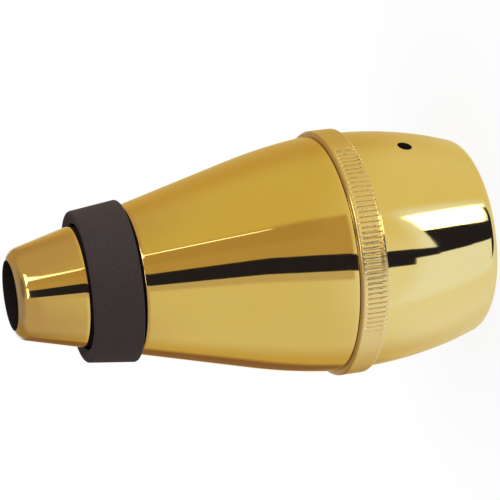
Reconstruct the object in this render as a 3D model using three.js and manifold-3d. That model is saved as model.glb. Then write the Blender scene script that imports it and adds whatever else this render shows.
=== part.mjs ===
// Practice mute for a trumpet. Millimetres, +Z up.
//
// The mute stands on its flat rear end with its mouth on top, and the origin is the centre of that end.
// A long conical front shell screws into a short barrel-shaped rear cap, which has a knurled collar for
// the fingers and a vent hole in its side. A foam ring on the cone seals the mute in the bell of the
// instrument, an O-ring seals the screwed joint, and a foam disc in the cap soaks up the sound.
//
// Angles round the axis are counted from the front, which is -Y, towards +X.

import * as THREE from 'three'
import { mergeGeometries, mergeVertices } from 'three/addons/utils/BufferGeometryUtils.js'
import Module from 'manifold-3d'

const degrees = THREE.MathUtils.degToRad

// Heights along the axis
const capHeight = 47.55 // from the flat rear end to the front face of the collar
const seamGap = 0.3 // open seam between the collar and the front shell
const frontLength = 96.45 // from the seam to the mouth

// Outline of the front shell
const shellWall = 2.5
const mouthBoreRadius = 10.5
const lipRound = 4.2 // radius of the soft outer edge of the mouth
const seamRadius = 36.15 // outside radius of both shells at the seam
const seamSlope = degrees(5.7) // the front shell still widens by this angle where it meets the seam
const shoulderReach = 13 // half the length of the curved shoulder in front of the seam
const innerBendReach = 10 // half the length of the bend from the inside cone to the spigot

// Outline of the rear cap
const capWall = 2.5
const endWall = 2.5
const barrelArc = 120.6 // radius of the long arc down the side of the cap
const barrelPeakBelowSeam = 7 // the arc is widest this far behind the front face of the collar
const endRound = 4.6 // outside corner between the side and the flat end

// Knurled collar of the rear cap
const collarStep = 1.5 // the collar stands this far outside the seam radius
const collarWall = 2.85 // from the thread bore to the outside of the collar
const collarBand = 8.05 // height of the collar, up to its front face
const collarRise = 0.7 // height over which the side of the cap steps out to the collar
const collarFrontRound = 1.4
const collarRearRound = 0.9
const collarRootRound = 0.3 // hollow round where the step leaves the side of the cap
const knurlPitch = degrees(2.5)
const knurlDepth = 0.42
const knurlWidth = 0.9
const knurlFrontInset = 0.6 // plain rim between the grooves and the front face of the collar
const knurlRearInset = 0.3 // plain rim between the grooves and the rear edge of the collar

// The two halves of the mould pull apart along this angle, so the grooves fade out towards the parting line.
const mouldPullAngle = degrees(8)
const knurlFullAngle = degrees(45)
const knurlFadeAngle = degrees(64)

// Screw thread between the shells
const threadPitch = 4
const threadTurns = 1.5
const threadHeight = 0.8 // how far a ridge stands out of its wall
const threadCrest = 0.9 // width of a ridge at its top
const threadRoot = 1.7 // width of a ridge at its wall
const threadClearance = 0.3 // between a ridge and the wall that it faces
const threadStart = 2 // the ridges start this far above the ledge in the cap
const threadEndGap = 1.45 // and end this far below the seat of the O-ring
const spigotWall = 2.2
const spigotEndGap = 0.6 // between the end of the spigot and the ledge

// O-ring in the corner under the shoulder of the front shell
const oRingSection = 1.3
const oRingGap = 0.3 // left free on each side of the O-ring

// Vent hole in the side of the cap
const ventRadius = 2.25
const ventHeight = 22.6
const ventAngle = degrees(58.2)

// Foam ring that seals the mute in the bell
const ringInset = 20.1 // from the mouth to the front face of the ring
const ringLength = 15.2
const ringFrontWall = 2.9
const ringRearWall = 1.95
const ringFrontGap = 1.45 // the bore tapers less than the cone, so the ring stands off at its front
const ringSeatGap = 0.3 // where the ring sits on the cone
const ringRound = 1.6

// Foam disc on the floor of the cap
const foamThickness = 12
const foamRound = 3.2
const foamFloorGap = 0.3
const foamWallGap = 0.5

// How finely the round forms are cut
const turnSteps = 60
const foamSteps = 40
const oRingSides = 6
const ventSteps = 12
const roundStep = degrees(35)
const bendSteps = 4 // on each long curve of an outline

// Sizes that follow from the ones above
const collarRadius = seamRadius + collarStep
const threadBoreRadius = collarRadius - collarWall
const spigotRadius = threadBoreRadius - threadHeight - threadClearance
const spigotBoreRadius = spigotRadius - spigotWall
const oRingSeatRadius = spigotRadius + oRingSection + 2 * oRingGap
const shoulderHeight = capHeight + seamGap
const oRingSeatHeight = shoulderHeight - oRingSection - 2 * oRingGap
const threadRun = threadTurns * threadPitch
const ledgeHeight = oRingSeatHeight - threadEndGap - threadRun - threadStart // the thread bore ends here
const spigotLength = shoulderHeight - ledgeHeight - spigotEndGap

const wasm = await Module()
wasm.setup()

function point(radius, height) {
  return new THREE.Vector2(radius, height)
}

// Rounds one corner of an outline. The round is limited by the shorter of the two sides that meet there.
function roundedCorner(before, corner, after, radius) {
  const back = before.clone().sub(corner)
  const ahead = after.clone().sub(corner)
  const room = 0.45 * Math.min(back.length(), ahead.length())
  back.normalize()
  ahead.normalize()
  const halfAngle = Math.acos(THREE.MathUtils.clamp(back.dot(ahead), -1, 1)) / 2
  const reach = Math.min(radius / Math.tan(halfAngle), room)
  const bend = reach * Math.tan(halfAngle)
  const centre = corner.clone().addScaledVector(back.clone().add(ahead).normalize(), bend / Math.sin(halfAngle))
  const from = corner.clone().addScaledVector(back, reach).sub(centre)
  const to = corner.clone().addScaledVector(ahead, reach).sub(centre)
  const sweep = Math.atan2(from.cross(to), from.dot(to))
  const steps = Math.max(2, Math.ceil(Math.abs(sweep) / roundStep))
  const points = []
  for (let step = 0; step <= steps; step += 1) {
    points.push(from.clone().rotateAround(point(0, 0), (sweep * step) / steps).add(centre))
  }
  return points
}

// Turns a list of corners into an outline. A corner is [radius, height] or [radius, height, round].
function outlineOf(corners, closed) {
  const outline = []
  corners.forEach(([radius, height, round], index) => {
    const corner = point(radius, height)
    if (!round) {
      outline.push(corner)
      return
    }
    const before = corners.at(index - 1)
    const after = corners[(index + 1) % corners.length]
    outline.push(...roundedCorner(point(...before), corner, point(...after), round))
  })
  return closed ? [...outline, outline[0].clone()] : outline
}

// The corners of a bend that leaves one straight line and joins the next without a kink
function bendCorners(start, corner, end) {
  const curve = new THREE.QuadraticBezierCurve(start, corner, end)
  return curve.getPoints(bendSteps).map((place) => [place.x, place.y])
}

// A body of revolution about Z. Its outline runs up on the outside and down on the inside.
function turned(outline, steps) {
  return new THREE.LatheGeometry(outline, steps).rotateX(Math.PI / 2)
}

function solidOf(geometry) {
  const bare = geometry.clone()
  bare.deleteAttribute('normal')
  bare.deleteAttribute('uv')
  const merged = mergeVertices(bare, 1e-4)
  const corners = merged.index.array
  const kept = []
  for (let first = 0; first < corners.length; first += 3) {
    const [a, b, c] = corners.slice(first, first + 3)
    if (a !== b && b !== c && c !== a) kept.push(a, b, c)
  }
  const vertProperties = new Float32Array(merged.attributes.position.array)
  const triVerts = new Uint32Array(kept)
  return new wasm.Manifold(new wasm.Mesh({ numProp: 3, vertProperties, triVerts }))
}

function geometryOf(solid) {
  const mesh = solid.getMesh()
  const geometry = new THREE.BufferGeometry()
  geometry.setAttribute('position', new THREE.BufferAttribute(new Float32Array(mesh.vertProperties), 3))
  geometry.setIndex(new THREE.BufferAttribute(new Uint32Array(mesh.triVerts), 1))
  geometry.computeVertexNormals()
  return geometry
}

// A place at a radius and an angle from the front
function placeAt(radius, angle, height) {
  return new THREE.Vector3(radius * Math.sin(angle), -radius * Math.cos(angle), height)
}

// Skins a row of closed sections, each with the same number of places, and closes its two ends.
// Each section runs anticlockwise as seen from the last one.
function skinned(sections) {
  const sides = sections[0].length
  const places = sections.flat().flatMap((place) => place.toArray())
  const faces = []
  for (let row = 0; row + 1 < sections.length; row += 1) {
    for (let side = 0; side < sides; side += 1) {
      const here = row * sides + side
      const beside = row * sides + ((side + 1) % sides)
      faces.push(here, beside, beside + sides, here, beside + sides, here + sides)
    }
  }
  const last = (sections.length - 1) * sides
  for (let side = 1; side + 1 < sides; side += 1) {
    faces.push(0, side + 1, side)
    faces.push(last, last + side, last + side + 1)
  }
  const geometry = new THREE.BufferGeometry()
  geometry.setAttribute('position', new THREE.Float32BufferAttribute(places, 3))
  geometry.setIndex(faces)
  return geometry
}

// One ridge of the screw thread. It climbs a pitch each turn, and its ends sink into the wall.
// The ridge stands on wallRadius and points outwards on the spigot, inwards in the bore.
function threadRidge(wallRadius, outwards, startAngle, startHeight) {
  const side = outwards ? 1 : -1
  const steps = Math.round(threadTurns * turnSteps)
  const fadeSteps = 4
  const sunk = threadHeight / 2
  const slope = (threadRoot - threadCrest) / 2 / threadHeight
  const sections = []
  for (let step = 0; step <= steps; step += 1) {
    const angle = startAngle + (step / turnSteps) * 2 * Math.PI
    const height = startHeight + (step / turnSteps) * threadPitch
    const grown = Math.min(1, step / fadeSteps, (steps - step) / fadeSteps)
    const crest = THREE.MathUtils.lerp(-sunk / 2, threadHeight, grown)
    const root = wallRadius - side * sunk
    const top = wallRadius + side * crest
    const rootHalf = threadRoot / 2 + sunk * slope
    const topHalf = threadRoot / 2 - crest * slope
    const section = [
      placeAt(root, angle, height - rootHalf),
      placeAt(root, angle, height + rootHalf),
      placeAt(top, angle, height + topHalf),
      placeAt(top, angle, height - topHalf),
    ]
    sections.push(outwards ? section : section.reverse())
  }
  return skinned(sections)
}

// The straight cone, worked out from the mouth's bore, the wall and the corner of the shoulder bend
const shoulderDepth = frontLength - shoulderReach
const shoulderRadius = seamRadius - shoulderReach * Math.tan(seamSlope)
const coneRun = Math.hypot(shoulderDepth, shoulderRadius - mouthBoreRadius)
const coneAngle = Math.atan2(shoulderRadius - mouthBoreRadius, shoulderDepth) - Math.asin(shellWall / coneRun)

// Outside radius of the cone at a depth behind the mouth
function coneRadius(depth) {
  return shoulderRadius - (shoulderDepth - depth) * Math.tan(coneAngle)
}

// The rounded lip: an arc that leaves the cone smoothly and ends on the edge of the bore
function lipCorners() {
  const along = Math.sqrt(shellWall * (2 * lipRound - shellWall))
  const inwards = lipRound - shellWall
  const depth = along * Math.cos(coneAngle) + inwards * Math.sin(coneAngle)
  const radius = mouthBoreRadius + along * Math.sin(coneAngle) - inwards * Math.cos(coneAngle)
  const edgeAngle = Math.atan2(depth, mouthBoreRadius - radius)
  const corners = []
  for (let step = 0; step <= bendSteps; step += 1) {
    const angle = THREE.MathUtils.lerp(coneAngle, edgeAngle, step / bendSteps)
    corners.push([radius + lipRound * Math.cos(angle), frontLength - depth + lipRound * Math.sin(angle)])
  }
  return corners
}

// Built with the seam at height 0
function frontShell() {
  const outerBendStart = point(
    coneRadius(shoulderDepth - shoulderReach),
    frontLength - shoulderDepth + shoulderReach,
  )
  const outerBend = bendCorners(point(seamRadius, 0), point(shoulderRadius, shoulderReach), outerBendStart)
  const innerCornerDepth = (spigotBoreRadius - mouthBoreRadius) / Math.tan(coneAngle)
  const innerCornerHeight = frontLength - innerCornerDepth
  const innerBend = bendCorners(
    point(spigotBoreRadius - innerBendReach * Math.tan(coneAngle), innerCornerHeight + innerBendReach),
    point(spigotBoreRadius, innerCornerHeight),
    point(spigotBoreRadius, innerCornerHeight - innerBendReach),
  )
  const corners = [
    [spigotRadius, -spigotLength, 0.5],
    [spigotRadius, 0],
    ...outerBend,
    ...lipCorners(),
    ...innerBend,
    [spigotBoreRadius, -spigotLength, 0.5],
  ]
  const body = solidOf(turned(outlineOf(corners, true), turnSteps))
  const firstRidge = ledgeHeight + threadStart - shoulderHeight
  const ridge = solidOf(threadRidge(spigotRadius, true, Math.PI, firstRidge))
  return geometryOf(body.add(ridge))
}

// Height of the widest place of the cap's side, and the outside radius of that side at a height
const barrelPeakHeight = capHeight - barrelPeakBelowSeam

function barrelRadius(height, inset = 0) {
  return seamRadius - barrelArc + Math.sqrt((barrelArc - inset) ** 2 - (height - barrelPeakHeight) ** 2)
}

// The cap's side as places between two heights, outside or, with an inset, inside the wall
function barrelCorners(from, to, inset) {
  const corners = []
  for (let step = 0; step <= bendSteps; step += 1) {
    const height = THREE.MathUtils.lerp(from, to, step / bendSteps)
    corners.push([barrelRadius(height, inset), height])
  }
  return corners
}

function capBody() {
  const collarFoot = capHeight - collarBand
  const rootHeight = collarFoot - collarRise
  const rootBlend = 3
  const innerEndRound = endRound / 2
  const corners = [
    [0, 0],
    [barrelRadius(0), 0, endRound],
    ...barrelCorners(2 * endRound, rootHeight - rootBlend, 0),
    [barrelRadius(rootHeight), rootHeight, collarRootRound],
    [collarRadius, collarFoot, collarRearRound],
    [collarRadius, capHeight, collarFrontRound],
    [oRingSeatRadius, capHeight],
    [oRingSeatRadius, oRingSeatHeight],
    [threadBoreRadius, oRingSeatHeight],
    [threadBoreRadius, ledgeHeight],
    ...barrelCorners(ledgeHeight, endWall + 2 * innerEndRound, capWall),
    [barrelRadius(endWall, capWall), endWall, innerEndRound],
    [0, endWall],
  ]
  return solidOf(turned(outlineOf(corners, false), turnSteps))
}

// Depth of the knurl at an angle: full where the mould pulls away from it, none at the parting line
function knurlDepthAt(angle) {
  const fromPull = Math.abs(Math.asin(Math.sin(angle - mouldPullAngle)))
  return knurlDepth * (1 - THREE.MathUtils.smoothstep(fromPull, knurlFullAngle, knurlFadeAngle))
}

// One V-shaped groove of the knurl, as the wedge that cuts it
function knurlWedge(angle, depth) {
  const foot = capHeight - collarBand + knurlRearInset
  const top = capHeight - knurlFrontInset
  const overshoot = 0.2 // past the collar, yet clear of the next wedge
  const floorRadius = collarRadius - depth
  const openRadius = collarRadius + overshoot
  const halfAngle = ((knurlWidth / 2 / knurlDepth) * (depth + overshoot)) / openRadius
  const sectionAt = (height) => [
    placeAt(floorRadius, angle, height),
    placeAt(openRadius, angle - halfAngle, height),
    placeAt(openRadius, angle + halfAngle, height),
  ]
  return skinned([sectionAt(foot), sectionAt(top)])
}

function ventHole() {
  const drill = new THREE.CylinderGeometry(ventRadius, ventRadius, 4 * capWall, ventSteps)
  drill.rotateZ(ventAngle + Math.PI)
  const centre = placeAt(barrelRadius(ventHeight) - capWall / 2, ventAngle, ventHeight)
  return drill.translate(centre.x, centre.y, centre.z)
}

// All the wedges that cut the knurl, apart from those too shallow to show
function knurlWedges() {
  const least = 0.04
  const wedges = []
  for (let angle = knurlPitch / 2; angle < 2 * Math.PI; angle += knurlPitch) {
    const depth = knurlDepthAt(angle)
    if (depth > least) wedges.push(knurlWedge(angle, depth))
  }
  return mergeGeometries(wedges)
}

function rearCap() {
  const ridge = solidOf(threadRidge(threadBoreRadius, false, 0, ledgeHeight + threadStart))
  const cap = capBody().add(ridge).subtract(solidOf(knurlWedges())).subtract(solidOf(ventHole()))
  return geometryOf(cap)
}

// Built with the mouth at height 0
function bellSealRing() {
  const frontBore = coneRadius(ringInset) + ringFrontGap
  const rearBore = coneRadius(ringInset + ringLength) + ringSeatGap
  const corners = [
    [rearBore, -ringInset - ringLength],
    [rearBore + ringRearWall, -ringInset - ringLength, ringRound],
    [frontBore + ringFrontWall, -ringInset, ringRound],
    [frontBore, -ringInset, ringRound / 3],
  ]
  return turned(outlineOf(corners, true), foamSteps)
}

// Built with the shoulder of the front shell at height 0
function jointORing() {
  const centre = point(spigotRadius + oRingGap + oRingSection / 2, -oRingGap - oRingSection / 2)
  const outline = []
  for (let side = 0; side <= oRingSides; side += 1) {
    const angle = (side / oRingSides) * 2 * Math.PI
    outline.push(point(oRingSection / 2, 0).rotateAround(point(0, 0), angle).add(centre))
  }
  return turned(outline, foamSteps)
}

// Built with its underside at height 0
function dampingFoam() {
  const widest = endWall + foamFloorGap + foamRound
  const radius = barrelRadius(widest, capWall) - foamWallGap
  const corners = [
    [0, 0],
    [radius, 0, foamRound],
    [radius, foamThickness, foamRound / 4],
    [0, foamThickness],
  ]
  return turned(outlineOf(corners, false), foamSteps)
}

function piece(name, geometry, color, roughness, metalness) {
  const mesh = new THREE.Mesh(geometry, new THREE.MeshStandardMaterial({ color, roughness, metalness }))
  mesh.name = name
  return mesh
}

const gold = 0xd2ab58
const foamGrey = 0x40383a
const rubberBlack = 0x1b1b1c
const foamCharcoal = 0x2e2f31

const rearHalf = new THREE.Group()
const foamDisc = piece('damping_foam', dampingFoam(), foamCharcoal, 0.95, 0)
foamDisc.position.z = endWall + foamFloorGap
rearHalf.add(piece('rear_cap', rearCap(), gold, 0.08, 1), foamDisc)

const frontHalf = new THREE.Group()
const sealRing = piece('bell_seal_ring', bellSealRing(), foamGrey, 0.9, 0)
sealRing.position.z = frontLength
frontHalf.add(piece('front_shell', frontShell(), gold, 0.08, 1), sealRing)
frontHalf.add(piece('joint_o_ring', jointORing(), rubberBlack, 0.6, 0))
frontHalf.position.z = shoulderHeight

const mute = new THREE.Group()
mute.add(rearHalf, frontHalf)

export default mute
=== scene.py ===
# %% [markdown]
# # A practice mute for a trumpet
#
# A practice mute is a hollow plug for the bell of a brass instrument. This one is two thin mouldings that
# screw together: a long conical front shell with the mouth, and a short barrel-shaped rear cap with a
# knurled collar and a vent hole. A foam ring on the cone seals it in the bell.
#
# The CAD model is a fixed frame of plain solids. This lesson dresses it: every solid gets a finer piece in
# the same place, with the finish of the real thing. The outside is a mirror, so half of the work is the
# room that it reflects.

import math

import bpy
from mathutils import Matrix, Vector


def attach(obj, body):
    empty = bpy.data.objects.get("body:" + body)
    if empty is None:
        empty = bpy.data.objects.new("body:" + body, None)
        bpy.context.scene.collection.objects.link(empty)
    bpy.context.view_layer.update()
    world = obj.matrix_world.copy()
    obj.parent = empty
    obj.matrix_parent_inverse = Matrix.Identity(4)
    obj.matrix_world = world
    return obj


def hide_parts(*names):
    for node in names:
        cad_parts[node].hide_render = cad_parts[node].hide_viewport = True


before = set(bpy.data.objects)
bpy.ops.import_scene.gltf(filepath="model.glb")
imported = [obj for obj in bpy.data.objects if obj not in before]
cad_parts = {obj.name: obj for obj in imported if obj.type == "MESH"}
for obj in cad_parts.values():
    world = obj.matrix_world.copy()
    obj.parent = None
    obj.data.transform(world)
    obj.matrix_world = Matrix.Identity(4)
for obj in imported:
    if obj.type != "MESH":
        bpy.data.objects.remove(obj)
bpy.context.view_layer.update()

# %% [markdown]
# ## Sizes
#
# The pieces are turned from outlines, so they need the sizes that the solids were made from. All of them
# are in millimetres, with the flat rear end at height 0 and the mouth on top. Working in millimetres keeps
# the numbers readable. The meshes are turned into metres in one place, where they are made.
#
# The solids stay at least 0.3 mm apart. The real shells touch at the seam when they are screwed tight, so
# there the front shell comes closer.

# %% Sizes of the two shells
cap_height = 47.55
seam_gap = 0.3
closed_seam_gap = 0.1
front_length = 96.45
shell_wall = 2.5
mouth_bore_radius = 10.5
lip_round = 4.2
seam_radius = 36.15
seam_slope = math.radians(5.7)
shoulder_reach = 13
inner_bend_reach = 10

cap_wall = 2.5
end_wall = 2.5
end_round = 4.6
barrel_arc = 120.6
barrel_peak_drop = 7
collar_step = 1.5
collar_band = 8.05
collar_rise = 0.7

barrel_peak_height = cap_height - barrel_peak_drop
collar_radius = seam_radius + collar_step
shoulder_height = cap_height + seam_gap
mouth_height = shoulder_height + front_length
seam_face_height = cap_height + closed_seam_gap
print("length", mouth_height, "mm, width", 2 * collar_radius, "mm")

# %% Sizes of the screwed joint
thread_pitch = 4
thread_turns = 1.5
thread_height = 0.8
thread_crest = 0.9
thread_root = 1.7
thread_clearance = 0.3
thread_to_seat = 1.45
ledge_to_thread = 2
collar_wall = 2.85
spigot_wall = 2.2
spigot_end_gap = 0.6
o_ring_section = 1.3
o_ring_gap = 0.3
seam_edge = 0.1
EDGE = 0.25

thread_bore_radius = collar_radius - collar_wall
spigot_radius = thread_bore_radius - thread_height - thread_clearance
spigot_bore_radius = spigot_radius - spigot_wall
o_ring_seat_radius = spigot_radius + o_ring_section + 2 * o_ring_gap
o_ring_seat_height = shoulder_height - o_ring_section - 2 * o_ring_gap
thread_rise = thread_turns * thread_pitch
ledge_height = o_ring_seat_height - thread_to_seat - thread_rise - ledge_to_thread
first_ridge_height = ledge_height + ledge_to_thread
spigot_end_height = ledge_height + spigot_end_gap
print("the thread runs from", first_ridge_height, "to", first_ridge_height + thread_rise, "mm")

# %% [markdown]
# ## Turning
#
# Both shells, the O-ring and the two foam parts are bodies of revolution. Blender has a Screw modifier for
# that, but it turns a whole outline alike. Here the collar needs grooves and the bore needs a thread, so
# the mesh is laid out by hand: one row of places round the axis for each point of the outline. A place
# can then be pushed in or out, as a cutter or a mould would.
#
# First come the outlines. A corner is a radius, a height, the size of its rounding, and the finish of the
# side that starts there. Finishes are counted in the order in which a piece lists them. A rounding takes
# less than half of a side, so that two of them never meet. Differences below SLACK are rounding errors.

# %% Outlines with rounded corners
OUTER = 0
INNER = 1
KNURLED = 2
SEAT = 2
MOST_OF_SIDE = 0.49
DEGREES_PER_STEP = 9
SLACK = 0.01


def rounded(before, corner, after, size):
    """The places of an arc that rounds a corner between two straight sides."""
    here = Vector(corner)
    back = Vector(before) - here
    ahead = Vector(after) - here
    room = MOST_OF_SIDE * min(back.length, ahead.length)
    back.normalize()
    ahead.normalize()
    half_angle = back.angle(ahead) / 2
    reach = min(size / math.tan(half_angle), room)
    bend = reach * math.tan(half_angle)
    centre = here + (back + ahead).normalized() * (bend / math.sin(half_angle))
    start = here + back * reach - centre
    end = here + ahead * reach - centre
    sweep = math.atan2(start.x * end.y - start.y * end.x, start.dot(end))
    steps = max(2, math.ceil(abs(math.degrees(sweep)) / DEGREES_PER_STEP))
    turns = [Matrix.Rotation(sweep * step / steps, 2) for step in range(steps + 1)]
    return [tuple(centre + turn @ start) for turn in turns]


def outline_of(corners):
    """Turns corners into rows. A row is a radius, a height and a finish."""
    rows = []
    for index, (radius, height, size, finish) in enumerate(corners):
        places = [(radius, height)]
        if size:
            before = corners[index - 1][:2]
            after = corners[(index + 1) % len(corners)][:2]
            places = rounded(before, (radius, height), after, size)
        rows += [(*place, finish) for place in places]
    return rows


def filled(outline, spacing_at, closed):
    """Adds rows along the long sides of an outline, so that no two are further apart than the spacing."""
    rows = []
    ends = outline[1:] + outline[:1] if closed else outline[1:]
    for (radius, height, finish), end in zip(outline, ends):
        start = Vector((radius, height))
        side = Vector(end[:2]) - start
        steps = max(1, math.ceil(side.length / spacing_at(*(start + side / 2)) - SLACK))
        rows += [(*(start + side * step / steps), finish) for step in range(steps)]
    return rows if closed else rows + [outline[-1]]


def bend_of(start, corner, end, finish):
    """The corners of a soft bend that leaves one straight side and joins the next without a kink."""
    corners = []
    steps = 16
    for step in range(steps + 1):
        first = Vector(start).lerp(Vector(corner), step / steps)
        second = Vector(corner).lerp(Vector(end), step / steps)
        corners.append((*first.lerp(second, step / steps), 0, finish))
    return corners


print("a square corner rounded by 1 mm has", len(rounded((0, 5), (5, 5), (5, 0), 1)), "places")

# %% [markdown]
# Now the lathe. Angles are counted from the front, which is -Y, towards +X. Each row gets its own angles,
# so a row may be finer than the one beside it, and the faces between them then have extra corners. A row
# on the axis is one single place. What shapes a place, such as a groove, is a function of its own.

# %% The lathe
METRES = 0.001
COLUMNS = 288
SHARP_ANGLE = math.radians(38)
EVEN_ANGLES = [2 * math.pi * column / COLUMNS for column in range(COLUMNS)]


def place_at(radius, angle, height):
    """A place in the row frame, in millimetres."""
    return Vector((radius * math.sin(angle), -radius * math.cos(angle), height))


def faces_between(lower, upper):
    """The faces between two rows of corner numbers, of which one may be finer, or a single place."""
    if len(lower) < len(upper):
        return [face[::-1] for face in faces_between(upper, lower)]
    faces = []
    step = len(lower) // len(upper)
    for column in range(len(upper)):
        side = [lower[(column * step + index) % len(lower)] for index in range(step + 1)]
        if len(upper) == 1:
            faces += [[side[index], side[index + 1], upper[0]] for index in range(step)]
        else:
            faces.append(side + [upper[(column + 1) % len(upper)], upper[column]])
    return faces


def turned(rows, closed, shaped=place_at, angles_at=lambda radius, height: EVEN_ANGLES):
    """Turns rows about the axis. Gives places, the corner numbers of each row, and faces with finishes."""
    places = []
    numbers = []
    for radius, height, finish in rows:
        angles = angles_at(radius, height) if radius > EDGE else [0.0]
        numbers.append(list(range(len(places), len(places) + len(angles))))
        places += [shaped(radius, angle, height) for angle in angles]
    faces = []
    ends = numbers[1:] + numbers[:1] if closed else numbers[1:]
    for (radius, height, finish), lower, upper in zip(rows, numbers, ends):
        faces += [(face, finish) for face in faces_between(lower, upper)]
    return places, numbers, faces


def new_piece(name, places, faces, finishes):
    """Makes an object from places in millimetres and faces with the number of their finish."""
    mesh = bpy.data.meshes.new(name)
    mesh.from_pydata([place * METRES for place in places], [], [face for face, finish in faces])
    for finish in finishes:
        mesh.materials.append(finish)
    mesh.polygons.foreach_set("material_index", [finish for face, finish in faces])
    mesh.polygons.foreach_set("use_smooth", [True] * len(faces))
    mesh.update()
    mesh.set_sharp_from_angle(angle=SHARP_ANGLE)
    piece = bpy.data.objects.new(name, mesh)
    bpy.context.scene.collection.objects.link(piece)
    print(name, "has", len(faces), "faces")
    return piece


print("an even row has a place every", round(math.degrees(EVEN_ANGLES[1]), 2), "degrees")

# %% [markdown]
# ## Finishes
#
# One function turns a written sRGB colour into the linear values that Blender calculates with, and one adds
# a node. A socket is given either a value or the output of another node.

# %% Colours and nodes
def linear(colour):
    """An sRGB hex colour as linear red, green and blue, with an alpha of 1."""
    channels = [int(colour[first : first + 2], 16) / 255 for first in (1, 3, 5)]
    low = [channel / 12.92 for channel in channels]
    high = [((channel + 0.055) / 1.055) ** 2.4 for channel in channels]
    return [a if channel <= 0.04045 else b for channel, a, b in zip(channels, low, high)] + [1.0]


def add(tree, kind, sockets, **settings):
    """Adds a node to a tree with its settings, then gives its sockets their values or links."""
    made = tree.nodes.new(kind)
    for name, value in settings.items():
        setattr(made, name, value)
    for socket, value in sockets.items():
        if isinstance(value, bpy.types.NodeSocket):
            tree.links.new(value, made.inputs[socket])
        else:
            made.inputs[socket].default_value = value
    return made


def new_finish(name):
    """A new material, its node tree, its Principled surface, and the place on the piece in metres."""
    finish = bpy.data.materials.new(name)
    finish.use_nodes = True
    tree = finish.node_tree
    tree.nodes.clear()
    surface = add(tree, "ShaderNodeBsdfPrincipled", {})
    add(tree, "ShaderNodeOutputMaterial", {"Surface": surface.outputs["BSDF"]})
    where = add(tree, "ShaderNodeTexCoord", {}).outputs["Object"]
    return finish, tree, surface, where


def per_mm(size):
    """The scale of a texture whose pattern repeats about every so many millimetres."""
    return 1 / (size * METRES)


print("#808080 is", round(linear("#808080")[0], 3), "of white in linear light")

# %% [markdown]
# ### Metallised ABS
#
# The shells are injection-moulded ABS, metallised in a vacuum and then dipped in a tinted lacquer. That
# gives the eye a true mirror with a gold tint. Two things tell it from polished brass: the lacquer adds a
# thin colourless reflection of its own, and its skin is a little wavy, like orange peel, so that straight
# reflections wobble slightly. The film is thicker in some places, where the gold is deeper.

# %% Metallised gold
def gold_lacquer(name, film_colours, roughest, coat_roughness, wave_width, wave_height):
    """Gold over a vacuum coat. Sizes of the waves in its skin are in millimetres."""
    finish, tree, surface, where = new_finish(name)
    surface.inputs["Metallic"].default_value = 1
    surface.inputs["Coat Weight"].default_value = 0.7
    surface.inputs["Coat Roughness"].default_value = coat_roughness
    surface.inputs["Coat IOR"].default_value = 1.5

    film = add(tree, "ShaderNodeTexNoise", {"Vector": where, "Scale": per_mm(28), "Detail": 2})
    thick, thin = [linear(colour) for colour in film_colours]
    colours = {"Factor": film.outputs["Fac"], "A": thick, "B": thin}
    gold = add(tree, "ShaderNodeMix", colours, data_type="RGBA")
    tree.links.new(gold.outputs["Result"], surface.inputs["Base Color"])

    handling = {"Vector": where, "Scale": per_mm(11), "Detail": 6, "Roughness": 0.65}
    wear = add(tree, "ShaderNodeTexNoise", handling).outputs["Fac"]
    shine = {"Value": wear, "From Min": 0.45, "From Max": 0.75, "To Min": roughest / 2, "To Max": roughest}
    gloss = add(tree, "ShaderNodeMapRange", shine)
    tree.links.new(gloss.outputs["Result"], surface.inputs["Roughness"])

    peel = add(tree, "ShaderNodeTexNoise", {"Vector": where, "Scale": per_mm(wave_width), "Detail": 1})
    skin = {"Height": peel.outputs["Fac"], "Strength": 1, "Distance": wave_height * METRES}
    waves = add(tree, "ShaderNodeBump", skin)
    tree.links.new(waves.outputs["Normal"], surface.inputs["Normal"])
    print("finish:", name)
    return finish


polished_gold = gold_lacquer(
    "metallised ABS, gold lacquer over polished moulding",
    film_colours=("#DCC063", "#E1C66D"),
    roughest=0.07,
    coat_roughness=0.02,
    wave_width=3.5,
    wave_height=0.004,
)

# %% [markdown]
# The knurled band of the mould is spark-eroded and not polished, which leaves it finely pitted. The same
# coat on it is satin: it takes the average colour of the room and no longer draws its outlines. The pits
# are some hundredths of a millimetre wide, so they are drawn as roughness, with a coarser grain that shows.

# %% Satin gold
satin_gold = gold_lacquer(
    "metallised ABS, gold lacquer over spark-eroded moulding",
    film_colours=("#DABF72", "#E0C57C"),
    roughest=0.44,
    coat_roughness=0.35,
    wave_width=0.25,
    wave_height=0.003,
)

# %% [markdown]
# ### Bare ABS
#
# Inside, the shells keep the black of the plastic. A mould for an inside is only smoothed, not polished, so
# the surface is satin with a faint grain. The seat of the foam ring is roughened, so that the ring holds,
# and it hardly shines at all. Its black is also painted darker than the inside, as painted shade in the gap
# beside the ring.

# %% Black ABS
black_abs, tree, surface, where = new_finish("black ABS, as moulded")
surface.inputs["IOR"].default_value = 1.53
grain = add(tree, "ShaderNodeTexNoise", {"Vector": where, "Scale": per_mm(0.5), "Detail": 3})
blacks = {"Factor": grain.outputs["Fac"], "A": linear("#242022"), "B": linear("#2C282A")}
shade = add(tree, "ShaderNodeMix", blacks, data_type="RGBA")
satin = add(tree, "ShaderNodeMapRange", {"Value": grain.outputs["Fac"], "To Min": 0.42, "To Max": 0.55})
grain_relief = {"Height": grain.outputs["Fac"], "Strength": 0.5, "Distance": 0.02 * METRES}
fine_bumps = add(tree, "ShaderNodeBump", grain_relief)
tree.links.new(shade.outputs["Result"], surface.inputs["Base Color"])
tree.links.new(satin.outputs["Result"], surface.inputs["Roughness"])
tree.links.new(fine_bumps.outputs["Normal"], surface.inputs["Normal"])
print("finish:", black_abs.name)

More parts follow.
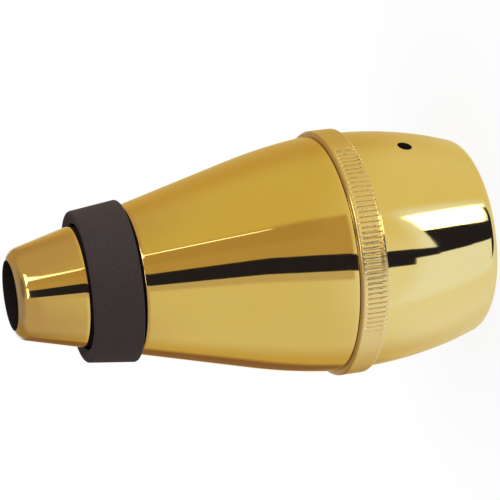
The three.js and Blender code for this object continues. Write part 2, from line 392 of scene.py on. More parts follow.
# %% Roughened ABS
seat_abs_painted_shade, tree, surface, where = new_finish("black ABS, roughened, painted shade")
surface.inputs["Roughness"].default_value = 0.95
surface.inputs["Specular IOR Level"].default_value = 0.08
scratches = add(tree, "ShaderNodeTexNoise", {"Vector": where, "Scale": per_mm(0.3), "Detail": 4})
# Painted shade: both blacks are darker than the inside, for the shade in the gap beside the ring.
seat_blacks_painted_shade = {"Factor": scratches.outputs["Fac"], "A": linear("#1C1818"), "B": linear("#2A2424")}
seat_black_painted_shade = add(tree, "ShaderNodeMix", seat_blacks_painted_shade, data_type="RGBA")
tree.links.new(seat_black_painted_shade.outputs["Result"], surface.inputs["Base Color"])
print("finish:", seat_abs_painted_shade.name)

# %% [markdown]
# ### Closed-cell foam
#
# The bell ring is neoprene foam, ground to its taper. Its closed cells are a few tenths of a millimetre
# wide. They make it matte, with tiny pits that only show close by, and its colour is a warm dark grey with
# hardly any mottling. The pits are painted a little darker, as painted shade in the hollows. The cells are
# drawn at 0.5 mm, a little coarser than real ones, so that they show.

# %% Neoprene foam
neoprene, tree, surface, where = new_finish("neoprene foam, ground")
surface.inputs["IOR"].default_value = 1.45
surface.inputs["Roughness"].default_value = 0.8
surface.inputs["Specular IOR Level"].default_value = 0.3

cells = add(tree, "ShaderNodeTexVoronoi", {"Vector": where, "Scale": per_mm(0.5)}, feature="SMOOTH_F1")
mottle = add(tree, "ShaderNodeTexNoise", {"Vector": where, "Scale": per_mm(6), "Detail": 3})
pits = add(tree, "ShaderNodeMapRange", {"Value": cells.outputs["Distance"], "From Max": 0.7})
warm_greys = {"Factor": mottle.outputs["Fac"], "A": linear("#3E383A"), "B": linear("#443F41")}
base = add(tree, "ShaderNodeMix", warm_greys, data_type="RGBA")
# Painted shade: the middle of each pit is a darker grey.
pit_shade_and_base = {"Factor": pits.outputs["Result"], "A": linear("#383335"), "B": base.outputs["Result"]}
pitted = add(tree, "ShaderNodeMix", pit_shade_and_base, data_type="RGBA")
pit_relief = {"Height": pits.outputs["Result"], "Strength": 0.5, "Distance": 0.03 * METRES}
relief = add(tree, "ShaderNodeBump", pit_relief)
tree.links.new(pitted.outputs["Result"], surface.inputs["Base Color"])
tree.links.new(relief.outputs["Normal"], surface.inputs["Normal"])
print("finish:", neoprene.name)

# %% [markdown]
# ### Rubber and open-cell foam
#
# The O-ring is moulded nitrile rubber: black and satin, with a bloom that dulls it in patches. The absorber
# is cut polyurethane foam. Its open cells are about a millimetre wide, with thin grey walls between pores
# that are painted near-black, as painted shade in the holes.

# %% Nitrile rubber
nitrile, tree, surface, where = new_finish("nitrile rubber, moulded")
surface.inputs["IOR"].default_value = 1.52
bloom = add(tree, "ShaderNodeTexNoise", {"Vector": where, "Scale": per_mm(1.8), "Detail": 4})
rubber_blacks = {"Factor": bloom.outputs["Fac"], "A": linear("#171718"), "B": linear("#222223")}
rubber = add(tree, "ShaderNodeMix", rubber_blacks, data_type="RGBA")
dull = add(tree, "ShaderNodeMapRange", {"Value": bloom.outputs["Fac"], "To Min": 0.4, "To Max": 0.62})
tree.links.new(rubber.outputs["Result"], surface.inputs["Base Color"])
tree.links.new(dull.outputs["Result"], surface.inputs["Roughness"])
print("finish:", nitrile.name)

# %% Polyurethane foam
acoustic_foam, tree, surface, where = new_finish("polyurethane foam, cut open-cell")
surface.inputs["IOR"].default_value = 1.45
surface.inputs["Roughness"].default_value = 0.95
surface.inputs["Specular IOR Level"].default_value = 0.2
pore_size = {"Vector": where, "Scale": per_mm(1.2)}
pores = add(tree, "ShaderNodeTexVoronoi", pore_size, feature="DISTANCE_TO_EDGE")
walls = add(tree, "ShaderNodeMapRange", {"Value": pores.outputs["Distance"], "From Max": 0.25})
# Painted shade: the pores between the walls are near-black.
wall_and_pore_shade = {"Factor": walls.outputs["Result"], "A": linear("#3D3E41"), "B": linear("#151517")}
foam_colour_with_pore_shade = add(tree, "ShaderNodeMix", wall_and_pore_shade, data_type="RGBA")
pore_relief = {"Height": walls.outputs["Result"], "Strength": 1, "Distance": 0.4 * METRES}
sunk = add(tree, "ShaderNodeBump", pore_relief, invert=True)
tree.links.new(foam_colour_with_pore_shade.outputs["Result"], surface.inputs["Base Color"])
tree.links.new(sunk.outputs["Normal"], surface.inputs["Normal"])
print("finish:", acoustic_foam.name)

# %% [markdown]
# ## Screw thread
#
# The shells join with one ridge each, a turn and a half long. A ridge is a trapezoid that climbs a pitch
# in each turn and sinks into its wall at both ends. As a height over the wall, it is easy to
# work out for any place: find how far the place is from the middle of the ridge, and see what the
# trapezoid gives there. The two ridges start half a turn apart, so that each lies midway between the turns
# of the other.

# %% Height of the thread over its wall
shell_thread_start = math.pi
cap_thread_start = 0


def clamped(value):
    """The value, kept between 0 and 1."""
    return max(0.0, min(1.0, value))


def thread_over_wall(angle, height, start_angle):
    """How far the ridge stands out of its wall at a place."""
    turn_share = ((angle - start_angle) / (2 * math.pi)) % 1
    run_out_turns = 1 / 15
    tallest = 0.0
    for whole_turns in range(math.ceil(thread_turns)):
        turns = turn_share + whole_turns
        grown = clamped(min(turns, thread_turns - turns) / run_out_turns)
        away = abs(height - first_ridge_height - turns * thread_pitch)
        flank = (thread_root / 2 - away) / ((thread_root - thread_crest) / 2)
        tallest = max(tallest, thread_height * clamped(flank) * grown)
    return tallest


half_turn_height = first_ridge_height + thread_pitch / 2
for name, away in (("crest", 0), ("flank", (thread_crest + thread_root) / 4), ("foot", thread_root / 2)):
    over_wall = thread_over_wall(cap_thread_start + math.pi, half_turn_height + away, cap_thread_start)
    print("the", name, "of the ridge stands out by", round(over_wall, 2), "mm")

# %% [markdown]
# ## Front shell
#
# The cone runs straight from a rounded lip to a soft shoulder, and still widens a little where it meets the
# seam. The angle of the cone isn't written down: it follows from the bore of the mouth, the wall and the
# corner of the shoulder.

# %% The cone
shoulder_depth = front_length - shoulder_reach
shoulder_radius = seam_radius - shoulder_reach * math.tan(seam_slope)
cone_run = math.hypot(shoulder_depth, shoulder_radius - mouth_bore_radius)
bore_to_shoulder = math.atan2(shoulder_radius - mouth_bore_radius, shoulder_depth)
cone_angle = bore_to_shoulder - math.asin(shell_wall / cone_run)


def cone_radius(depth):
    """Outside radius of the cone at a depth behind the mouth."""
    return shoulder_radius - (shoulder_depth - depth) * math.tan(cone_angle)


def lip_corners():
    """The arc that leaves the cone smoothly and ends on the edge of the bore."""
    along = math.sqrt(shell_wall * (2 * lip_round - shell_wall))
    inwards = lip_round - shell_wall
    depth = along * math.cos(cone_angle) + inwards * math.sin(cone_angle)
    radius = mouth_bore_radius + along * math.sin(cone_angle) - inwards * math.cos(cone_angle)
    edge_angle = math.atan2(depth, mouth_bore_radius - radius)
    corners = []
    steps = 18
    for step in range(steps + 1):
        angle = cone_angle + (edge_angle - cone_angle) * step / steps
        height = mouth_height - depth + lip_round * math.sin(angle)
        finish = INNER if step == steps else OUTER
        corners.append((radius + lip_round * math.cos(angle), height, 0, finish))
    return corners


print("the cone opens by", round(math.degrees(cone_angle), 2), "degrees each side")

# %% [markdown]
# The photo shows a dark line on both sides of the foam ring, and the reflections on the cone bend just
# before it. So the ring lies in a shallow seat with rounded edges, a little longer than the ring. The seat
# is masked when the shell is coated, and stays black; that black is painted darker than the inside, as
# painted shade in the gap.

# %% The seat of the bell ring
ring_inset = 20.1
ring_length = 15.2
seat_front_gap = 0.3
seat_rear_gap = 0.3
seat_depth = 0.8
seat_coat_depth = 0.56
seat_edge = 0.4


def seat_corners():
    """The seat from its rear edge to its front edge, with a place on the cone beside each edge."""
    rear = ring_inset + ring_length + seat_rear_gap
    front = ring_inset - seat_front_gap
    clear_of_edge = 3 * seat_edge
    behind = rear + clear_of_edge
    ahead = front - clear_of_edge
    return [
        (cone_radius(behind), mouth_height - behind, 0, OUTER),
        (cone_radius(rear), mouth_height - rear, seat_edge, OUTER),
        (cone_radius(rear) - seat_coat_depth, mouth_height - rear, 0, SEAT),
        (cone_radius(rear) - seat_depth, mouth_height - rear, 0, SEAT),
        (cone_radius(front) - seat_depth, mouth_height - front, 0, SEAT),
        (cone_radius(front) - seat_coat_depth, mouth_height - front, 0, OUTER),
        (cone_radius(front), mouth_height - front, seat_edge, OUTER),
        (cone_radius(ahead), mouth_height - ahead, 0, OUTER),
    ]


print("the seat is", seat_front_gap + ring_length + seat_rear_gap, "mm long")

# %% [markdown]
# The shells were coated apart, so the gold also covers the two faces of the seam. It ends at the edge of
# the bore and at the spigot, which the holder of the coating rack covered.

# %% Front shell
THREAD_SPACING = 0.25
WALL_SPACING = 4


def shell_corners():
    bend_top = shoulder_height + 2 * shoulder_reach
    inner_corner = mouth_height - (spigot_bore_radius - mouth_bore_radius) / math.tan(cone_angle)
    inner_narrowing = inner_bend_reach * math.tan(cone_angle)
    shoulder = bend_of(
        (seam_radius, shoulder_height),
        (shoulder_radius, shoulder_height + shoulder_reach),
        (cone_radius(mouth_height - bend_top), bend_top),
        OUTER,
    )
    inner_bend = bend_of(
        (spigot_bore_radius - inner_narrowing, inner_corner + inner_bend_reach),
        (spigot_bore_radius, inner_corner),
        (spigot_bore_radius, inner_corner - inner_bend_reach),
        INNER,
    )
    return [
        (spigot_radius, spigot_end_height, 2 * EDGE, INNER),
        (spigot_radius, seam_face_height, EDGE, OUTER),
        (seam_radius, seam_face_height, seam_edge, OUTER),
        (seam_radius, shoulder_height, 0, OUTER),
        *shoulder[1:],
        *seat_corners(),
        *lip_corners(),
        *inner_bend,
        (spigot_bore_radius, spigot_end_height, 2 * EDGE, INNER),
    ]


def shell_spacing(radius, height):
    in_thread = height < shoulder_height and radius > spigot_radius - EDGE
    return THREAD_SPACING if in_thread else WALL_SPACING


def shell_surface(radius, angle, height):
    if height < shoulder_height - EDGE and radius > spigot_radius - EDGE / 2:
        radius += thread_over_wall(angle, height, shell_thread_start)
    return place_at(radius, angle, height)


rows = filled(outline_of(shell_corners()), shell_spacing, closed=True)
places, numbers, faces = turned(rows, closed=True, shaped=shell_surface)
front_shell = new_piece("front_shell_moulding", places, faces, [polished_gold, black_abs, seat_abs_painted_shade])
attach(front_shell, "shell")
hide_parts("front_shell")

# %% [markdown]
# ## Rear cap
#
# The side of the cap is one long arc that steps out to the collar. The collar is knurled for the fingers.
# The grooves are made by the mould, and a mould with two halves can't leave grooves on its
# sides, so they are deepest where the halves pull away and fade out towards the parting line. The band
# between its rims is a little hollow, so the last shallow grooves only nick its rims. Each groove is cut
# as a V with steep sides, and so gets narrower where it gets shallower.

# %% The knurl
knurl_pitch = math.radians(2.5)
knurl_depth = 0.42
knurl_steepness = 1.6
knurl_width = 2 * knurl_depth / knurl_steepness
knurl_hollow = 0.16
knurl_end_margin = 1.1
knurl_end = cap_height - knurl_end_margin
knurl_ramp = 0.6
mould_pull_angle = math.radians(8)
knurl_full_angle = math.radians(42)
knurl_fade_angle = math.radians(56)


def smooth_share(value, low, high):
    """0 below low, 1 above high, and a soft slope between them."""
    share = clamped((value - low) / (high - low))
    return share * share * (3 - 2 * share)


def knurl_cut(angle, height):
    """How far a groove is cut below the collar at a place."""
    groove = (math.floor(angle / knurl_pitch) + 0.5) * knurl_pitch
    from_pull = abs(math.asin(math.sin(groove - mould_pull_angle)))
    kept = 1 - smooth_share(from_pull, knurl_full_angle, knurl_fade_angle)
    away = abs(angle - groove) * collar_radius
    run_out = clamped((knurl_end - height) / knurl_ramp)
    across = (height - (cap_height - collar_band / 2)) / (collar_band / 2)
    depth = (knurl_depth * kept - knurl_hollow * (1 - across**2)) * run_out
    return max(0, depth - knurl_steepness * away)


def collar_angles():
    """Two places for each side of a groove, one on its floor and one between grooves."""
    half = knurl_width / 2 / collar_radius
    offsets = [-half, -half / 2, 0, half / 2, half]
    angles = []
    for groove in range(round(2 * math.pi / knurl_pitch)):
        angles.append(groove * knurl_pitch)
        angles += [(groove + 0.5) * knurl_pitch + offset for offset in offsets]
    return angles


COLLAR_ANGLES = collar_angles()
print("the collar has", round(2 * math.pi / knurl_pitch), "grooves and", len(COLLAR_ANGLES), "columns")

# %% [markdown]
# The vent hole goes through the side. Cutting it with a Boolean would leave thin slivers, which show as
# creases in a mirror. Instead the grid is bent: a block of cells is pushed into a circle, left out of
# the faces, and the two rims are joined by a wall. The cells round the block are bent less and less with
# their distance, and not at all from VENT_REACH times the size of the block.

# %% The vent hole
vent_radius = 2.25
vent_height = 22.6
vent_angle = math.radians(58.2)
vent_cells = 3
vent_cell_height = 0.75
vent_cell_angle = 2 * math.pi / COLUMNS
vent_column = round(vent_angle / vent_cell_angle)
vent_block_angle = vent_column * vent_cell_angle
VENT_REACH = 3


def barrel_radius(height, inset=0.0):
    """Radius of the side of the cap, outside or, with an inset, inside the wall."""
    drop = (barrel_arc - inset) ** 2 - (height - barrel_peak_height) ** 2
    return seam_radius - barrel_arc + math.sqrt(drop)


def vent_share(angle, height):
    """How far a cell is from the middle of the vent block, where 1 is its rim."""
    across = abs(angle - vent_block_angle) / (vent_cells * vent_cell_angle)
    along = abs(height - vent_height) / (vent_cells * vent_cell_height)
    return max(across, along)


def bent_round_vent(angle, height, radius):
    """Moves a place on the side of the cap so that the rim of the block becomes the rim of the hole."""
    share = vent_share(angle, height)
    if share >= VENT_REACH or share == 0:
        return angle, height
    away = Vector(((angle - vent_block_angle) / vent_cell_angle, (height - vent_height) / vent_cell_height))
    on_circle = away.normalized() * vent_radius * share
    kept = 1 - smooth_share(share, 1, VENT_REACH)
    round_angle = vent_angle + on_circle.x / radius
    round_height = vent_height + on_circle.y
    return angle + (round_angle - angle) * kept, height + (round_height - height) * kept


print("the vent hole is", 2 * vent_radius, "mm across at height", vent_height, "mm")

# %% [markdown]
# The outline of the cap runs up its side, over the collar, down through the seat of the O-ring and the
# thread, and along the inside. It needs many rows beside the vent hole, where the grid is bent, and few
# above and below.

# %% Outline of the rear cap
collar_front_round = 1.4
collar_rear_round = 0.9
collar_root_round = 0.3
collar_foot = cap_height - collar_band
collar_root = collar_foot - collar_rise
vent_zone = VENT_REACH * vent_cells * vent_cell_height
vent_low = vent_height - vent_zone
vent_high = vent_height + vent_zone


def side_heights(low, high):
    """Heights up the side of the cap. Round the vent hole they are as far apart as the cells."""
    steps_below = 5
    steps_above = 3
    cells = 2 * VENT_REACH * vent_cells
    below = [low + (vent_low - low) * step / steps_below for step in range(steps_below)]
    beside = [vent_low + vent_cell_height * step for step in range(cells)]
    above = [vent_high + (high - vent_high) * step / steps_above for step in range(steps_above + 1)]
    return below + beside + above


def cap_corners():
    blend = 1
    inner_round = end_round / 2
    inner_low = end_wall + 2 * inner_round
    outside = side_heights(2 * end_round, collar_root - blend)
    inside = side_heights(inner_low, ledge_height)[::-1]
    return [
        (0, 0, 0, OUTER),
        (barrel_radius(0), 0, end_round, OUTER),
        *[(barrel_radius(height), height, 0, OUTER) for height in outside],
        (barrel_radius(collar_root), collar_root, collar_root_round, OUTER),
        (collar_radius, collar_foot, collar_rear_round, KNURLED),
        (collar_radius, cap_height, collar_front_round, KNURLED),
        (o_ring_seat_radius + EDGE, cap_height, 0, OUTER),
        (o_ring_seat_radius, cap_height - EDGE, 0, INNER),
        (o_ring_seat_radius, o_ring_seat_height, 0, INNER),
        (thread_bore_radius, o_ring_seat_height, EDGE, INNER),
        (thread_bore_radius, ledge_height, 0, INNER),
        *[(barrel_radius(height, cap_wall), height, 0, INNER) for height in inside],
        (barrel_radius(end_wall, cap_wall), end_wall, inner_round, INNER),
        (0, end_wall, 0, INNER),
    ]


print("the outline of the cap has", len(cap_corners()), "corners")

# %% [markdown]
# Only the collar needs the fine columns of the knurl.

# %% Rear cap
COLLAR_SPACING = 0.3


def on_collar(radius, height):
    return radius > seam_radius + EDGE and height > collar_foot


def in_thread_bore(radius, height):
    return abs(radius - thread_bore_radius) < EDGE / 2 and ledge_height - EDGE < height < o_ring_seat_height


def cap_spacing(radius, height):
    if on_collar(radius, height):
        return COLLAR_SPACING
    return THREAD_SPACING if in_thread_bore(radius, height) else WALL_SPACING


def cap_angles(radius, height):
    return COLLAR_ANGLES if on_collar(radius, height) else EVEN_ANGLES


def cap_surface(radius, angle, height):
    on_side = vent_low <= height <= vent_high and radius > barrel_radius(height, cap_wall) - EDGE / 2
    if on_side:
        inset = 0 if radius > barrel_radius(height, cap_wall / 2) else cap_wall
        angle, height = bent_round_vent(angle, height, barrel_radius(vent_height))
        radius = barrel_radius(height, inset)
    elif on_collar(radius, height):
        radius = min(radius, collar_radius - knurl_cut(angle, height))
    elif in_thread_bore(radius, height):
        radius -= thread_over_wall(angle, height, cap_thread_start)
    return place_at(radius, angle, height)


rows = filled(outline_of(cap_corners()), cap_spacing, closed=False)
places, numbers, faces = turned(rows, closed=False, shaped=cap_surface, angles_at=cap_angles)
print("the cap has", len(rows), "rows")


# %% [markdown]
# A cell of the block is known by its corners: all four lie on the rim of the block or inside it. The two
# rims have the same columns and rows, so the wall joins each edge of one to the same edge of the other.
# Two more rings in the wall keep its faces short, and the gold ends at the first of them. The places in
# the middle of the block belong to no face any more, and are left out too.

# %% Open the vent hole
coated_share = 0.08
middle_share = 0.5


def vent_rim(rows, numbers, inside):
    """The corner numbers round one rim of the hole, in order, and those of the rows across the block."""
    found = {}
    for index, (radius, height, finish) in enumerate(rows):
        step = round((height - vent_height) / vent_cell_height)
        on_grid = abs(height - vent_height - step * vent_cell_height) < SLACK and abs(step) <= vent_cells
        if on_grid and (finish == INNER) == inside:
            found[step] = numbers[index]
    around = range(-vent_cells, vent_cells)
    rim = [(step, -vent_cells) for step in around]
    rim += [(vent_cells, step) for step in around]
    rim += [(-step, vent_cells) for step in around]
    rim += [(-vent_cells, -step) for step in around]
    return [found[row][vent_column + column] for column, row in rim], list(found.values())


def open_vent(places, rows, numbers, faces):
    """Leaves the block out of both sides of the wall and joins the two rims."""
    outer_rim, outer_rows = vent_rim(rows, numbers, inside=False)
    inner_rim, inner_rows = vent_rim(rows, numbers, inside=True)
    columns = range(vent_column - vent_cells, vent_column + vent_cells + 1)
    block = {row[column] for row in outer_rows + inner_rows for column in columns}
    kept = [(face, finish) for face, finish in faces if not set(face) <= block]
    print("left out", len(faces) - len(kept), "faces for the vent hole")
    rings = [outer_rim]
    for share in (coated_share, middle_share):
        ring = []
        for outer, inner in zip(outer_rim, inner_rim):
            ring.append(len(places))
            places.append(places[outer].lerp(places[inner], share))
        rings.append(ring)
    rings.append(inner_rim)
    for finish, upper, lower in zip((OUTER, INNER, INNER), rings, rings[1:]):
        for index in range(len(upper)):
            following = (index + 1) % len(upper)
            kept.append(([upper[following], upper[index], lower[index], lower[following]], finish))
    used = sorted({corner for face, finish in kept for corner in face})
    number = {corner: index for index, corner in enumerate(used)}
    faces = [([number[corner] for corner in face], finish) for face, finish in kept]
    return [places[corner] for corner in used], faces


places, faces = open_vent(places, rows, numbers, faces)
rear_cap = new_piece("rear_cap_moulding", places, faces, [polished_gold, black_abs, satin_gold])
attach(rear_cap, "cap")
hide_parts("rear_cap")

# %% [markdown]
# ## Foam and rubber
#
# The bell ring is a thick band of foam with rounded edges, ground to fit the bell. Its bore follows the
# cone, a fraction off it, so that the ring can be pulled off over the front edge of its seat. Its front
# face stands square to the cone, not to the axis, as it does on any band that is stretched over a cone.
# Nobody pushes such a ring on quite straight: the side towards the camera is 0.7 to 0.8 mm further forward
# than the middle, and the whole ring sits a little off the axis, towards -X, without touching the cone.

# %% Bell seal ring
ring_front_wall = 3.85
ring_rear_wall = 1.95
ring_front_gap = 0.5
ring_seat_gap = 0.3
ring_front_round = 0.8
ring_rear_round = 1.6
ring_skew = 0.032
ring_offset = 0.18
FOAM_SPACING = 1.5


def ring_corners():
    front = mouth_height - ring_inset
    rear = front - ring_length
    front_bore = cone_radius(ring_inset) + ring_front_gap
    lean = ring_front_wall * math.tan(cone_angle)
    rear_bore = cone_radius(ring_inset + ring_length) + ring_seat_gap
    return [
        (rear_bore, rear, 0, OUTER),
        (rear_bore + ring_rear_wall, rear, ring_rear_round, OUTER),
        (front_bore + ring_front_wall, front, ring_front_round, OUTER),
        (front_bore, front - lean, ring_front_round / 2, OUTER),
    ]


def askew(radius, angle, height):
    """A place on the ring, which is tilted and sits off the axis."""
    place = place_at(radius, angle, height)
    place.z -= ring_skew * place.y
    place.x -= ring_offset
    return place


rows = filled(outline_of(ring_corners()), lambda radius, height: FOAM_SPACING, closed=True)
places, numbers, faces = turned(rows, closed=True, shaped=askew)
bell_ring = new_piece("bell_seal_ring_foam", places, faces, [neoprene])
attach(bell_ring, "bell_ring")
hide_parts("bell_seal_ring")

# %% [markdown]
# The O-ring lies in its seat between the collar and the spigot, and seals the joint. Blender has a torus
# ready, but the lathe makes one as well, from a round outline and with the same columns as the shells.

# %% O-ring
def o_ring_rows():
    radius = spigot_radius + o_ring_gap + o_ring_section / 2
    height = shoulder_height - o_ring_gap - o_ring_section / 2
    sides = 20
    rows = []
    for side in range(sides):
        angle = 2 * math.pi * side / sides
        out = math.cos(angle) * o_ring_section / 2
        up = math.sin(angle) * o_ring_section / 2
        rows.append((radius + out, height + up, OUTER))
    return rows


places, numbers, faces = turned(o_ring_rows(), closed=True)
o_ring = new_piece("joint_o_ring_rubber", places, faces, [nitrile])
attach(o_ring, "seal")
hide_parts("joint_o_ring")

# %% [markdown]
# The absorber is a disc cut from a sheet with a hole punch. The blade squeezes the foam as it cuts, so the
# side of the disc is slightly hollow and its top edge is soft.

# %% Damping foam
foam_thickness = 12
foam_round = 3.2
foam_floor_gap = 0.3
foam_wall_gap = 0.5
foam_waist = 0.35
foam_waist_round = 8
foam_waist_share = 0.6


def foam_corners():
    floor = end_wall + foam_floor_gap
    radius = barrel_radius(floor + foam_round, cap_wall) - foam_wall_gap
    waist_height = floor + foam_thickness * foam_waist_share
    return [
        (0, floor, 0, OUTER),
        (radius, floor, foam_round, OUTER),
        (radius - foam_waist, waist_height, foam_waist_round, OUTER),
        (radius, floor + foam_thickness, foam_round / 4, OUTER),
        (0, floor + foam_thickness, 0, OUTER),
    ]


rows = filled(outline_of(foam_corners()), lambda radius, height: FOAM_SPACING, closed=False)
places, numbers, faces = turned(rows, closed=False)
absorber = new_piece("damping_foam_disc", places, faces, [acoustic_foam])
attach(absorber, "cap")
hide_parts("damping_foam")

# %% [markdown]
# ## The room
#
# A mirror shows the room, so the room has to be drawn. The mute stands in a pale light tent. The camera
# looks in through a slot, which the mute shows as a dark band along its whole length. Beside the
# slot hang a warm board, a soft box and a black flag. All of it is drawn in the world shader, as colours
# by direction. A card in the room is a patch with four corners. Each of its edges lies in a plane through
# the mute, so the shader only has to ask on which side of four planes a ray goes.

# %% Room colours
world = bpy.data.worlds.new("light tent")
bpy.context.scene.world = world
world.use_nodes = True
room = world.node_tree
room.nodes.clear()
toward = add(room, "ShaderNodeTexCoord", {}).outputs["Generated"]


def direction(azimuth, elevation):
    """The direction at an azimuth from the front towards +X, and an elevation, both in degrees."""
    level = math.cos(math.radians(elevation))
    return place_at(level, math.radians(azimuth), math.sin(math.radians(elevation)))


def along(axis, low, high):
    """0 where a ray's share along an axis is below low, 1 where it is above high."""
    share = add(room, "ShaderNodeVectorMath", {0: toward, 1: axis}, operation="DOT_PRODUCT")
    sockets = {"Value": share.outputs["Value"], "From Min": low, "From Max": high}
    return add(room, "ShaderNodeMapRange", sockets, interpolation_type="SMOOTHSTEP").outputs["Result"]


def layered(base, *layers):
    """A colour with others laid over it. Each layer is the share that it covers, and its colour."""
    for share, colour in layers:
        sockets = {"Factor": share, "A": base, "B": colour}
        base = add(room, "ShaderNodeMix", sockets, data_type="RGBA").outputs["Result"]
    return base


def lit(colour, strength=1.0):
    """A written colour at a strength, where 1 is as bright as white paper."""
    return [channel * strength for channel in linear(colour)[:3]] + [1.0]


def card(base, shown, corners, softness):
    """Hangs a card in front of the room. Its corners run clockwise as seen from the mute."""
    covered = 1.0
    directions = [direction(*corner) for corner in corners]
    for here, following in zip(directions, directions[1:] + directions[:1]):
        inwards = following.cross(here).normalized()
        half = math.sin(math.radians(softness)) / 2
        sockets = {0: along(inwards, -half, half), 1: covered}
        covered = add(room, "ShaderNodeMath", sockets, operation="MULTIPLY").outputs["Value"]
    return layered(base, (covered, shown))


print("a ray that goes up has the direction", list(direction(0, 90).to_tuple(2)))

# %% [markdown]
# The tent is bright and cool below and on the table side, which is -X. It is warmer towards its lamp, which
# is at +X, and dimmer above and behind. So each of its four walls has a colour for each of four heights.

# %% The tent
up_and_back = Vector((0, 0.18, 1))
above_floor = along(up_and_back, -0.5, -0.1)
top_of_wall = along(up_and_back, 0.08, 0.16)
near_ceiling = along(up_and_back, 0.65, 0.95)
towards_lamp = along(Vector((1, 0, 0)), -0.45, 0.45)
towards_back = along(Vector((0, 1, 0)), 0.05, 0.65)


def wall(floor, middle, top, ceiling):
    """A wall that changes from one colour to the next on the way up."""
    return layered(floor, (above_floor, middle), (top_of_wall, top), (near_ceiling, ceiling))


table_wall = wall(lit("#E0E6FF", 1.36), lit("#EDE6CF"), lit("#CBB7AD"), lit("#A79DAF"))
lamp_wall = wall(lit("#F6EFD2"), lit("#E4D191"), lit("#CBB29A"), lit("#A8987D"))
back_wall_by_table = wall(lit("#F2EED2"), lit("#D8BC6A"), lit("#A68C62"), lit("#A69ECA"))
back_wall_by_lamp = wall(lit("#EEE0A4"), lit("#D6B76D"), lit("#BD9C73"), lit("#AEABCB"))
front_half = layered(table_wall, (towards_lamp, lamp_wall))
back_half = layered(back_wall_by_table, (towards_lamp, back_wall_by_lamp))
tent = layered(front_half, (towards_back, back_half))

vent_in_ceiling = along(direction(30, 68), math.cos(math.radians(22)), math.cos(math.radians(12)))
tent = layered(tent, (vent_in_ceiling, lit("#847794")))
print("the tent takes", len(room.nodes), "nodes")

# %% Cards in the tent
back_sheet = [(163, 8), (205, 10), (205, -8), (163, -8)]
tent = card(tent, lit("#E8EDFF", 1.12), back_sheet, softness=6)
# Painted shade: a dark brown card low behind the table side stands in for the mute's shadow on the table,
# and darkens the lower edge of the cone in the mirror.
painted_table_shade = [(-165, 3), (-128, 3), (-140, -18), (-165, -18)]
tent = card(tent, lit("#916946"), painted_table_shade, softness=10)
warm_board = [(-9, 18), (36, 17), (36, -9), (-9, -9)]
tent = card(tent, lit("#CAAE7E"), warm_board, softness=5)
board_end = [(20, 18), (36, 17), (36, -1), (20, -1)]
tent = card(tent, lit("#C4A576"), board_end, softness=8)
slot_shade = [(-19, 18), (-8, 18), (-17, -8), (-26, -8)]
tent = card(tent, lit("#D5C7B6"), slot_shade, softness=4)
lamp_edge = [(34.7, 15.5), (36.3, 15.5), (35.3, 9), (35, 9)]
tent = card(tent, lit("#FFF6FF", 2.6), lamp_edge, softness=0.6)
lamp_above = [(20, 36), (58, 36), (48, 20), (33.5, 15.5)]
tent = card(tent, lit("#FFFFFF", 4), lamp_above, softness=2)
small_lamp = [(-14, 38), (15, 38), (13, 25), (-5, 25)]
tent = card(tent, lit("#FFFFFF", 4), small_lamp, softness=2)
box_glow = [(-60, -22), (33, -25), (54, -60), (-60, -60)]
tent = card(tent, lit("#C4CFFF", 1.93), box_glow, softness=9)
soft_box = [(10.5, -35.2), (27.5, -28), (46, -57), (10, -57)]
tent = card(tent, lit("#FFFFFF", 7), soft_box, softness=2)

DARK_CLOTH = lit("#282843")
slot_top = [(-10, 20), (8, 20), (-1.5, -7), (-17.2, -7)]
tent = card(tent, DARK_CLOTH, slot_top, softness=1)
slot_foot = [(-17.2, -6), (-1.5, -6), (-5.5, -30), (-21.5, -30)]
tent = card(tent, DARK_CLOTH, slot_foot, softness=1)
slot_end = [(-15, -28), (-5.3, -28), (-7.6, -39), (-15.5, -39)]
tent = card(tent, DARK_CLOTH, slot_end, softness=1)
black_flag = [(-14.5, -38.8), (12, -34), (24, -66), (-9, -66)]
tent = card(tent, DARK_CLOTH, black_flag, softness=1)
dark_below = [(-42, -58), (42, -55.8), (70, -82), (-70, -82)]
tent = card(tent, DARK_CLOTH, dark_below, softness=2)

paths = add(room, "ShaderNodeLightPath", {})
seen = layered(tent, (paths.outputs["Is Camera Ray"], linear("#FFFFFF")))
background = add(room, "ShaderNodeBackground", {"Color": seen, "Strength": 1.0})
add(room, "ShaderNodeOutputWorld", {"Surface": background.outputs["Background"]})
print("the room has", len(room.nodes), "nodes")

# %% [markdown]
# The floor is a pale sheet. To the camera it mostly glows, so that it comes out white, and further out it
# is as white as the room. Close to the mute enough of it is matte paper to take a faint shadow.

# %% Floor
floor_size = 4.0
floor_drop = 0.02


def new_floor():
    """A square sheet under the mute, a hair below its flat end."""
    half = floor_size / 2
    corners = [(-half, -half, 0), (half, -half, 0), (half, half, 0), (-half, half, 0)]
    mesh = bpy.data.meshes.new("floor")
    mesh.from_pydata(corners, [], [(0, 1, 2, 3)])
    floor = bpy.data.objects.new("floor", mesh)
    bpy.context.scene.collection.objects.link(floor)
    floor.location.z = -floor_drop * METRES
    floor.visible_glossy = False
    return floor


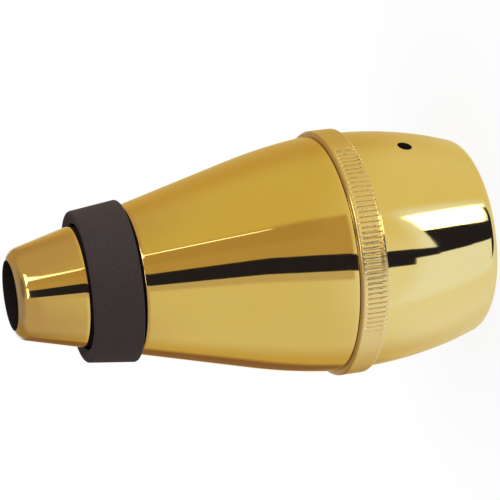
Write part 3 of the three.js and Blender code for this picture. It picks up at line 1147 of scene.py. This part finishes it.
paper, tree, surface, where = new_finish("white paper sheet")
tree.nodes.remove(surface)
matte = add(tree, "ShaderNodeBsdfDiffuse", {"Color": linear("#F4F4F2")})
glow = add(tree, "ShaderNodeEmission", {"Color": linear("#FFFFFF"), "Strength": 1.0})
distance = add(tree, "ShaderNodeVectorMath", {0: where}, operation="LENGTH")
fade = add(
    tree,
    "ShaderNodeMapRange",
    {"Value": distance.outputs["Value"], "From Min": 0.03, "From Max": 0.1, "To Min": 0.91, "To Max": 1.0},
)
seen_by_camera = add(tree, "ShaderNodeLightPath", {})
to_camera = {0: fade.outputs["Result"], 1: seen_by_camera.outputs["Is Camera Ray"]}
share = add(tree, "ShaderNodeMath", to_camera, operation="MULTIPLY")
matte_and_glow = {0: share.outputs["Value"], 1: matte.outputs["BSDF"], 2: glow.outputs["Emission"]}
sheet = add(tree, "ShaderNodeMixShader", matte_and_glow)
output = next(made for made in tree.nodes if made.type == "OUTPUT_MATERIAL")
tree.links.new(sheet.outputs["Shader"], output.inputs["Surface"])
floor = new_floor()
floor.data.materials.append(paper)
print("the floor is", floor_size, "m across")

# %% [markdown]
# One large lamp stands beside the mute, on the side that is on top in the photograph. It gives the foam
# and the floor a direction of light. The mirror doesn't show it, because the room already has its lamps
# drawn in.

# %% Lamp
lamp = bpy.data.lights.new("soft light", "AREA")
lamp.shape = "DISK"
lamp.size = 0.7
lamp.energy = 4.5
soft_light = bpy.data.objects.new("soft light", lamp)
bpy.context.scene.collection.objects.link(soft_light)
soft_light.visible_glossy = False
soft_light.location = (1.0, -0.1, 0.12)
aim = Vector((0, 0, mouth_height * METRES / 2)) - soft_light.location
soft_light.rotation_euler = aim.to_track_quat("-Z", "Y").to_euler()
print("lamp", round(aim.length, 2), "m away")

# %% [markdown]
# ## Camera
#
# The photograph was taken with the mute lying on its side. Here it stands, so the camera is rolled by a
# quarter turn: its upward direction is +X, and the mouth points to the left of the picture.

# %% Camera
camera_place = Vector((31.4, -722.1, 283.5)) * METRES
camera_forward = Vector((-0.0364, 0.9581, -0.2841)).normalized()
camera_up_hint = Vector((0.9919, 0.0, -0.1271))
camera_right = camera_forward.cross(camera_up_hint).normalized()
camera_up = camera_right.cross(camera_forward)

lens = bpy.data.cameras.new("camera")
lens.sensor_width = 36
lens.lens = 178.79
lens.clip_start = 0.01
lens.clip_end = 20
camera = bpy.data.objects.new("camera", lens)
bpy.context.scene.collection.objects.link(camera)
axes = Matrix((camera_right, camera_up, -camera_forward)).transposed()
camera.matrix_world = Matrix.Translation(camera_place) @ axes.to_4x4()
bpy.context.scene.camera = camera
bpy.context.scene.view_settings.view_transform = "Standard"
print("camera", round(camera_place.length, 3), "m from the origin")
